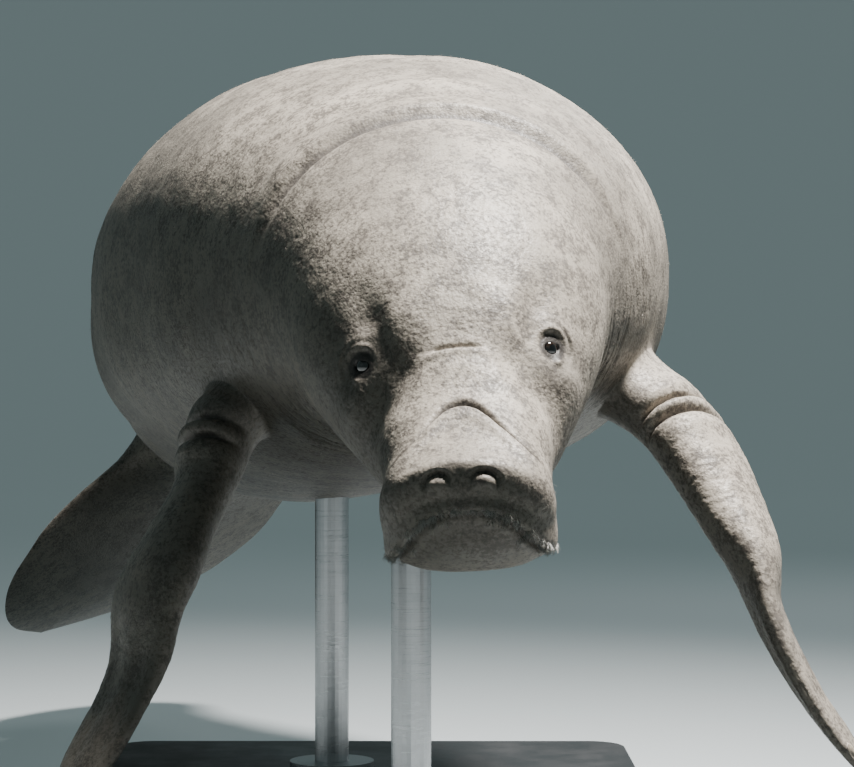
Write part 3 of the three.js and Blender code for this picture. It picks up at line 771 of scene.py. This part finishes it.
union(skin, flippers)
work = bmesh.new()
work.from_mesh(skin.data)
split_large_faces(work)
bmesh.ops.remove_doubles(work, verts=work.verts, dist=0.2 * MM)
bmesh.ops.dissolve_degenerate(work, edges=work.edges, dist=0.05 * MM)
split_large_faces(work)
work.to_mesh(skin.data)
work.free()

# The skin is drawn smooth where the flippers join, and a little at the muzzle and the lids
SEAM_MARGIN = 0.08
SEAM_FULL = 0.012
SEAM_END = 0.06
INSIDE_BOX = 0.0003

skin_mesh = skin.data
co = read_points(skin_mesh)
fin = read_value(skin_mesh, "fin")
edges = edge_list(skin_mesh)
seam = np.unique(edges[np.abs(fin[edges[:, 0]] - fin[edges[:, 1]]) > 0.01])
from_seam = distance_from_seam(co, co[seam], SEAM_MARGIN)
co = relax(co, edges, (1 - smooth_step(from_seam, SEAM_FULL, SEAM_END)) * 0.6, 70)
fine_weight = (np.where(read_value(skin_mesh, "at") < JAW_END, 0.25, 0)
               + 0.3 * smooth_step(read_value(skin_mesh, "lid_skin_and_shade"), 0.2, 1))
co = relax(co, edges, fine_weight, 2)
box_low, box_high = (np.array(corner) for corner in CAD_BOX)
box_low, box_high = box_low + INSIDE_BOX, box_high - INSIDE_BOX
co = np.clip(co, box_low, box_high)
set_points(skin_mesh, co)
skin_mesh.update()
skin_mesh.shade_smooth()

# Colours in linear light
SKIN_LIGHT = (0.47, 0.415, 0.345)
SKIN_MID = (0.275, 0.245, 0.205)
SKIN_DARK = (0.115, 0.10, 0.085)
# Painted shade: in creases, at the lids (over skin that is also darker there) and in the nostril
# hollows
CREASE_SHADE = (0.075, 0.066, 0.06)
LID_SKIN_AND_SHADE = (0.035, 0.031, 0.029)
PIT_SHADE = (0.035, 0.03, 0.028)
PUPIL = (0.002, 0.002, 0.002)
IRIS = ((0.012, 0.008, 0.006), (0.030, 0.020, 0.014))
EYE_RIM = (0.02, 0.016, 0.014)
HORN = ((0.36, 0.30, 0.23), (0.55, 0.49, 0.40))
HORN_STAIN = (0.16, 0.12, 0.09)
PAINT = ((0.030, 0.032, 0.034), (0.052, 0.053, 0.055))
STEEL = ((0.40, 0.41, 0.42), (0.56, 0.57, 0.58))
BRISTLE = ((0.66, 0.63, 0.57), (0.86, 0.85, 0.80))
HAIR = ((0.34, 0.30, 0.26), (0.55, 0.50, 0.43))
FLOOR = (0.52, 0.55, 0.56)
FLOOR_GLOW = (0.30, 0.40, 0.41)
BACKGROUND = (0.66, 0.90, 0.92)

# The sockets of a Mix node for colours, which go by number because their names repeat
MIX_SHARE = 0
MIX_COLOURS = (6, 7)
MIX_RESULT = 2


# Materials
def new_material(name, roughness, metallic=0.0):
    material = bpy.data.materials.new(name)
    material.use_nodes = True
    tree = material.node_tree
    shader = tree.nodes["Principled BSDF"]
    shader.inputs["Roughness"].default_value = roughness
    shader.inputs["Metallic"].default_value = metallic
    return material, tree, shader


def put_in(tree, socket, value):
    """Sets a socket to a number, or links another socket into it."""
    if isinstance(value, bpy.types.NodeSocket):
        tree.links.new(value, socket)
    else:
        socket.default_value = value


def add(tree, kind, settings=None, inputs=None):
    node = tree.nodes.new("ShaderNode" + kind)
    for key, value in (settings or {}).items():
        setattr(node, key, value)
    for key, value in (inputs or {}).items():
        put_in(tree, node.inputs[key], value)
    return node


def object_place(tree):
    return add(tree, "TexCoord").outputs["Object"]


def vertex_value(tree, key):
    return add(tree, "Attribute", {"attribute_name": key}).outputs["Fac"]


def noise_node(tree, place, scale, detail=2.0, roughness=0.5):
    return add(tree, "TexNoise", None, {
        "Vector": place, "Scale": scale, "Detail": detail, "Roughness": roughness,
    }).outputs["Fac"]


def ramp(tree, value, low, high, start=0.0, end=1.0):
    return add(tree, "MapRange", {"interpolation_type": "SMOOTHSTEP"}, {
        "Value": value, "From Min": low, "From Max": high, "To Min": start, "To Max": end,
    }).outputs["Result"]


def mix(tree, share, *colours):
    node = add(tree, "Mix", {"data_type": "RGBA"}, {MIX_SHARE: share})
    for index, colour in zip(MIX_COLOURS, colours):
        plain = isinstance(colour, tuple)
        put_in(tree, node.inputs[index], (*colour, 1) if plain else colour)
    return node.outputs[MIX_RESULT]


def weighted_sum(tree, a, share_a, b, share_b=None):
    """Two values added up, each times its share."""
    a = add(tree, "Math", {"operation": "MULTIPLY"}, {0: a, 1: share_a}).outputs[0]
    if share_b is not None:
        b = add(tree, "Math", {"operation": "MULTIPLY"}, {0: b, 1: share_b}).outputs[0]
    return add(tree, "Math", {"operation": "ADD"}, {0: a, 1: b}).outputs[0]


def add_bump(tree, shader, height, strength, distance):
    bump = add(tree, "Bump", None, {"Height": height, "Strength": strength, "Distance": distance})
    tree.links.new(bump.outputs["Normal"], shader.inputs["Normal"])


def skin_material():
    """Beige grey hide, mottled and speckled; painted shade in folds and nostrils, darker skin and
    painted shade at the lids.
    """
    material, tree, shader = new_material("skin", 0.55)
    place = object_place(tree)
    broad = noise_node(tree, place, 4.5, 3, 0.6)
    patches = noise_node(tree, place, 32.0, 4, 0.65)
    speckle = noise_node(tree, place, 190.0, 3, 0.7)
    mottle = weighted_sum(tree, patches, 0.45, speckle, 0.55)
    colour = mix(tree, ramp(tree, broad, 0.34, 0.64), SKIN_MID, SKIN_LIGHT)
    colour = mix(tree, ramp(tree, mottle, 0.43, 0.60, 0, 0.9), colour, SKIN_DARK)
    # Painted shade: darker in folds, at the lids (where the skin is also darker) and in the nostril
    # hollows
    fold_shade_share = ramp(tree, vertex_value(tree, "fold_shade"), 0.1, 1.3, 0, 0.8)
    colour = mix(tree, fold_shade_share, colour, CREASE_SHADE)
    colour = mix(tree, ramp(tree, vertex_value(tree, "lid_skin_and_shade"), 0.0, 1.0, 0, 0.9), colour, LID_SKIN_AND_SHADE)
    colour = mix(tree, ramp(tree, vertex_value(tree, "pit_shade"), 0.2, 1.0, 0, 0.9), colour, PIT_SHADE)
    tree.links.new(colour, shader.inputs["Base Color"])
    tree.links.new(ramp(tree, speckle, 0.35, 0.7, 0.44, 0.66), shader.inputs["Roughness"])
    pebble = add(tree, "TexVoronoi", {"feature": "F1"}, {"Vector": place, "Scale": 260.0})
    grain = noise_node(tree, place, 420.0, 2, 0.6)
    add_bump(tree, shader, weighted_sum(tree, pebble.outputs["Distance"], -0.7, grain), 0.4, 0.0012)
    shader.inputs["Specular IOR Level"].default_value = 0.4
    return material


skin.data.materials.clear()
skin.data.materials.append(skin_material())
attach(skin, "root")
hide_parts("muzzle", "lower_jaw", "head", "neck", "chest", "torso", "tail_stock",
            "tail_paddle", "flipper_left", "flipper_right")


def unit_ball(name, around, rings):
    made = bmesh.new()
    bmesh.ops.create_uvsphere(made, u_segments=around, v_segments=rings, radius=1)
    ball = bpy.data.meshes.new(name)
    made.to_mesh(ball)
    made.free()
    return ball


def eye_material():
    """Wet dark eye: pupil, iris with fine strands, darker rim."""
    material, tree, shader = new_material("eye", 0.06)
    ring = vertex_value(tree, "ring")
    strands = noise_node(tree, object_place(tree), 900.0, 3, 0.6)
    iris = mix(tree, ramp(tree, strands, 0.35, 0.7), *IRIS)
    colour = mix(tree, ramp(tree, ring, 0.34, 0.42), PUPIL, iris)
    colour = mix(tree, ramp(tree, ring, 0.72, 0.82), colour, EYE_RIM)
    tree.links.new(colour, shader.inputs["Base Color"])
    shader.inputs["Coat Weight"].default_value = 1.0
    shader.inputs["Coat Roughness"].default_value = 0.02
    return material


EYE_CLEARANCE = 0.3
CORNEA_BULGE = 0.035

eye_skin = eye_material()
for name, (centre, out, back, rise) in eye_places.items():
    ball = unit_ball("ball_" + name, 64, 40)
    local = read_points(ball)
    from_pupil = np.hypot(local[:, 0], local[:, 1])
    in_front = local[:, 2] > 0
    bulge = 1 + CORNEA_BULGE * bell(from_pupil, 0.4) * in_front
    facing = local[:, :1] * back + local[:, 1:2] * rise + local[:, 2:] * out
    set_points(ball, (centre + facing * (EYE_RADIUS - EYE_CLEARANCE) * bulge[:, None]) * MM)
    add_value(ball, "ring", np.where(in_front, from_pupil, 1.0))
    if np.cross(back, rise) @ out < 0:
        ball.flip_normals()
    ball.shade_smooth()
    ball.materials.append(eye_skin)
    eye = new_object("ball_" + name, ball)
    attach(eye, "root")
    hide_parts(name)


def horn_material():
    """Dull horn with streaks along it and brown stains."""
    material, tree, shader = new_material("nail_horn", 0.45)
    place = object_place(tree)
    streaks = noise_node(tree, place, 600.0, 3, 0.6)
    stain = noise_node(tree, place, 160.0, 3, 0.6)
    colour = mix(tree, ramp(tree, streaks, 0.35, 0.7), *HORN)
    colour = mix(tree, ramp(tree, stain, 0.5, 0.7, 0, 0.7), colour, HORN_STAIN)
    tree.links.new(colour, shader.inputs["Base Color"])
    add_bump(tree, shader, streaks, 0.4, 0.0005)
    return material


NAIL_TAPER = 0.18
NAIL_CURVE = 0.9

horn = horn_material()
for name, (here, side, ahead, out) in nail_places.items():
    claw = unit_ball("horn_" + name, 40, 24)
    x, y, z = read_points(claw).T
    ridges = 1 + 0.03 * np.sin(x * 14)
    world_points = (here + np.outer(x * NAIL_SIZE[0] * (1 - NAIL_TAPER * y), side)
                    + np.outer(y * NAIL_SIZE[1], ahead)
                    + np.outer(z * NAIL_SIZE[2] * ridges - NAIL_CURVE * x * x, out)) * MM
    set_points(claw, world_points)
    if np.cross(side, ahead) @ out < 0:
        claw.flip_normals()
    claw.shade_smooth()
    claw.materials.append(horn)
    nail = new_object("horn_" + name, claw)
    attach(nail, "root")
    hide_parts(name)


def paint_material():
    """Satin dark grey paint with a little dust."""
    material, tree, shader = new_material("stand_paint", 0.42)
    place = object_place(tree)
    dust = noise_node(tree, place, 9.0, 5, 0.65)
    tree.links.new(mix(tree, ramp(tree, dust, 0.35, 0.75), *PAINT), shader.inputs["Base Color"])
    tree.links.new(ramp(tree, dust, 0.3, 0.7, 0.34, 0.5), shader.inputs["Roughness"])
    add_bump(tree, shader, noise_node(tree, place, 700.0, 2, 0.5), 0.15, 0.0004)
    return material


def steel_material():
    """Steel brushed round the rods."""
    material, tree, shader = new_material("brushed_rod", 0.3, 1.0)
    flat = add(tree, "Mapping", None, {"Vector": object_place(tree), "Scale": (1.0, 1.0, 60.0)})
    lines = noise_node(tree, flat.outputs["Vector"], 12.0, 4, 0.7)
    tree.links.new(mix(tree, lines, *STEEL), shader.inputs["Base Color"])
    tree.links.new(ramp(tree, lines, 0.2, 0.8, 0.24, 0.4), shader.inputs["Roughness"])
    return material


paint, steel = paint_material(), steel_material()
stand_looks = {"stand_base": paint, "stand_rod_front": steel, "stand_rod_rear": steel}
for node, material in stand_looks.items():
    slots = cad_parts[node].data.materials
    if len(slots):
        slots[0] = material
    else:
        slots.append(material)

# Bristles and hairs
HAIR_RINGS = 4
HAIR_SIDES = 3
HAIR_ROOT = 0.0008
HAIR_MAP_SIZE = 0.0015

rng = np.random.default_rng(7)
skin_tree = BVHTree.FromPolygons([Vector(p) for p in co],
                                 [tuple(p.vertices) for p in skin_mesh.polygons])


def on_skin(points):
    """The nearest places on the skin and its outward directions there, in metres."""
    found, outward = [], []
    for point in points:
        place, direction, _, _ = skin_tree.find_nearest(Vector(point))
        found.append(place)
        outward.append(direction)
    return np.array(found), np.array(outward)


def map_place(at, degrees):
    """Places on the unrolled body, inside the edges of a unit square."""
    return np.stack([0.01 + 0.98 * degrees / 360, 0.01 + 0.98 * at / BODY_LENGTH], 1)


def make_hairs(name, roots, outward, lean, length, width, unwrap, material, bend=0.35):
    """Tapered three-sided hairs, each four rings long, joined into one mesh."""
    lean = lean - outward * (lean * outward).sum(1, keepdims=True)
    lean /= np.maximum(np.linalg.norm(lean, axis=1, keepdims=True), 1e-9)
    side = np.cross(outward, lean)
    verts, uvs = [], []
    for ring in range(HAIR_RINGS):
        t = ring / (HAIR_RINGS - 1)
        middle = (roots - outward * HAIR_ROOT + outward * (length * t * (1 - bend * t))[:, None]
                  + lean * (length * bend * t * t * 1.3)[:, None])
        size = width * (1 - 0.85 * t)
        for corner in range(HAIR_SIDES):
            turn = corner * 2 * math.pi / HAIR_SIDES
            spoke = np.array([math.cos(turn), math.sin(turn)])
            verts.append(middle + (side * spoke[0] + lean * spoke[1]) * size[:, None] / 2)
            uvs.append(unwrap + HAIR_MAP_SIZE * spoke * (0.4 + 0.6 * t))
    verts = np.stack(verts, 1)
    uvs = np.stack(uvs, 1)
    inside = ((verts > box_low) & (verts < box_high)).all((1, 2))
    verts, uvs = verts[inside], uvs[inside]
    per = HAIR_RINGS * HAIR_SIDES
    faces = []
    for below in range(0, per - HAIR_SIDES, HAIR_SIDES):
        above = below + HAIR_SIDES
        for corner in range(HAIR_SIDES):
            after = (corner + 1) % HAIR_SIDES
            faces.append([below + corner, below + after, above + after, above + corner])
    caps = [[0, 2, 1], [per - 3, per - 2, per - 1]]
    base = np.arange(len(verts))[:, None, None] * per
    quads = (base + np.array(faces)[None]).reshape(-1, 4)
    ends = (base + np.array(caps)[None]).reshape(-1, 3)
    hair = bpy.data.meshes.new(name)
    hair.from_pydata(verts.reshape(-1, 3).tolist(), [], quads.tolist() + ends.tolist())
    layer = hair.uv_layers.new(name="OFBake")
    loops = np.empty(len(hair.loops), np.int64)
    hair.loops.foreach_get("vertex_index", loops)
    layer.data.foreach_set("uv", uvs.reshape(-1, 2)[loops].astype(np.float32).ravel())
    hair.shade_smooth()
    hair.materials.append(material)
    obj = new_object(name, hair)
    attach(obj, "root")


def hair_material(name, colours):
    material, tree, shader = new_material(name, 0.5)
    shade = ramp(tree, noise_node(tree, object_place(tree), 60.0, 2), 0.35, 0.65)
    tree.links.new(mix(tree, shade, *colours), shader.inputs["Base Color"])
    return material


def picked_roots(wanted, count, jitter):
    """Roots round randomly picked places of the body's grid."""
    picked = wanted[rng.choice(len(wanted), count)]
    row, column = picked.T
    spots = body[row, column] + rng.normal(0, jitter, (count, 3))
    roots, outward = on_skin(spots * MM)
    return roots, outward, map_place(at_grid[row, column], turn_grid[row, column])


# Stiff white bristles in clumps on the lips, along the mouth line
BRISTLES = 1700
UPPER_CLUMPS = 80
LOWER_CLUMPS = 24

bristle = hair_material("bristle", BRISTLE)
upper = np.argwhere((from_mouth > 1.5) & (from_mouth < 8) & (at_grid < 45) & (at_grid > 1))
lower = np.argwhere((from_mouth < -2) & (from_mouth > -8) & (at_grid < 90) & (at_grid > 1))
clumps = np.vstack([upper[rng.choice(len(upper), UPPER_CLUMPS, replace=False)],
                    lower[rng.choice(len(lower), LOWER_CLUMPS, replace=False)]])
roots, outward, unwrap = picked_roots(clumps, BRISTLES, 2.4)
down = np.tile([0.0, -0.3, -1.0], (BRISTLES, 1)) + rng.normal(0, 0.35, (BRISTLES, 3))
length = rng.uniform(0.004, 0.012, BRISTLES)
width = rng.uniform(0.0005, 0.0009, BRISTLES)
make_hairs("lip_bristles", roots, outward, down, length, width, unwrap, bristle)

# A few long whiskers at the corners of the mouth
WHISKERS = 14

corners = np.argwhere((from_mouth > 4) & (from_mouth < 30) & (at_grid < 95)
                      & (np.abs(across) > 62))
roots, outward, unwrap = picked_roots(corners, WHISKERS, 1.0)
down = np.tile([0.0, 0.2, -1.0], (WHISKERS, 1)) + rng.normal(0, 0.5, (WHISKERS, 3))
length = rng.uniform(0.006, 0.013, WHISKERS)
width = rng.uniform(0.0004, 0.0006, WHISKERS)
make_hairs("lip_whiskers", roots, outward, down, length, width, unwrap, bristle, bend=0.7)

# Fine short hairs over the muzzle and sparse ones over the body
MUZZLE_HAIRS = 2600
BODY_HAIRS = 4800
MUZZLE_END = 300

at = np.concatenate([rng.uniform(12, MUZZLE_END, MUZZLE_HAIRS),
                     rng.uniform(MUZZLE_END, 2700, BODY_HAIRS)])
count = len(at)
degrees = rng.uniform(0, 360, count)
roots, outward = on_skin(body_points(at, degrees) * MM)
short, long = rng.uniform(0.002, 0.005, count), rng.uniform(0.004, 0.010, count)
lean = headings(at)[0] + rng.normal(0, 0.25, (count, 3))
width = rng.uniform(0.0002, 0.0003, count)
make_hairs("body_hairs", roots, outward, lean, np.where(at < MUZZLE_END, short, long), width,
           map_place(at, degrees), hair_material("hair", HAIR), bend=0.6)

# Floor, light and background
FLOOR_RADIUS = 16.0
FLOOR_FLAT = 0.7
FLOOR_TURN = 0.3
FLOOR_TOP = 0.9
FLOOR_STEPS = 12
FLOOR_AROUND = 96


def floor_profile():
    """Radius and height of the floor's rings, from the middle to its upturned rim."""
    profile = [(0.0, 0.0), (FLOOR_RADIUS * FLOOR_FLAT, 0.0)]
    for step in range(1, FLOOR_STEPS + 1):
        turn = step / FLOOR_STEPS * math.pi / 2
        profile.append((FLOOR_RADIUS * FLOOR_FLAT + math.sin(turn) * FLOOR_RADIUS * FLOOR_TURN,
                        (1 - math.cos(turn)) * FLOOR_RADIUS * FLOOR_TURN))
    return profile + [(FLOOR_RADIUS, FLOOR_RADIUS * FLOOR_TOP)]


def make_floor():
    """A pale floor that turns up at its far rim, so that no horizon shows."""
    profile = floor_profile()
    verts = [(0.0, 0.0, 0.0)]
    for radius, up in profile[1:]:
        for k in range(FLOOR_AROUND):
            turn = 2 * math.pi * k / FLOOR_AROUND
            verts.append((radius * math.cos(turn), radius * math.sin(turn), up))
    faces = [(0, 1 + k, 1 + (k + 1) % FLOOR_AROUND) for k in range(FLOOR_AROUND)]
    for ring in range(len(profile) - 2):
        base = 1 + ring * FLOOR_AROUND
        outer = base + FLOOR_AROUND
        for k in range(FLOOR_AROUND):
            after = (k + 1) % FLOOR_AROUND
            faces.append((base + k, outer + k, outer + after, base + after))
    floor_mesh = bpy.data.meshes.new("floor")
    floor_mesh.from_pydata(verts, [], faces)
    floor_mesh.shade_smooth()
    material, _, shader = new_material("floor", 0.9)
    shader.inputs["Base Color"].default_value = (*FLOOR, 1)
    shader.inputs["Specular IOR Level"].default_value = 0.1
    shader.inputs["Emission Color"].default_value = (*FLOOR_GLOW, 1)
    shader.inputs["Emission Strength"].default_value = 0.35
    floor_mesh.materials.append(material)
    floor = new_object("floor", floor_mesh)
    floor.visible_diffuse = False


# Name, place, what it faces, size, spread in degrees, watts, colour
LIGHTS = [
    ["key", (1.45, -0.95, 4.6), (0.1, -0.6, 0.8), 0.9, 75, 150, (1.0, 0.98, 0.95)],
    ["fill", (-3.0, -3.4, 1.6), (0, -0.4, 0.7), 2.6, 180, 2, (0.90, 0.97, 1.0)],
    ["back", (1.8, 3.6, 3.4), (0, 0.3, 0.7), 2.6, 180, 30, (0.95, 0.98, 1.0)],
]


def area_light(name, place, target, size, spread, power, colour):
    data = bpy.data.lights.new(name, "AREA")
    data.shape = "DISK"
    data.size = size
    data.spread = math.radians(spread)
    data.energy = power
    data.color = colour
    light = new_object(name, data)
    light.location = place
    light.rotation_euler = (Vector(target) - Vector(place)).to_track_quat("-Z", "Y").to_euler()


make_floor()
for settings in LIGHTS:
    area_light(*settings)

world = bpy.data.worlds.new("world")
world.use_nodes = True
world.node_tree.nodes["Background"].inputs["Color"].default_value = (*BACKGROUND, 1)
world.node_tree.nodes["Background"].inputs["Strength"].default_value = 0.055
bpy.context.scene.world = world

bpy.context.view_layer.update()
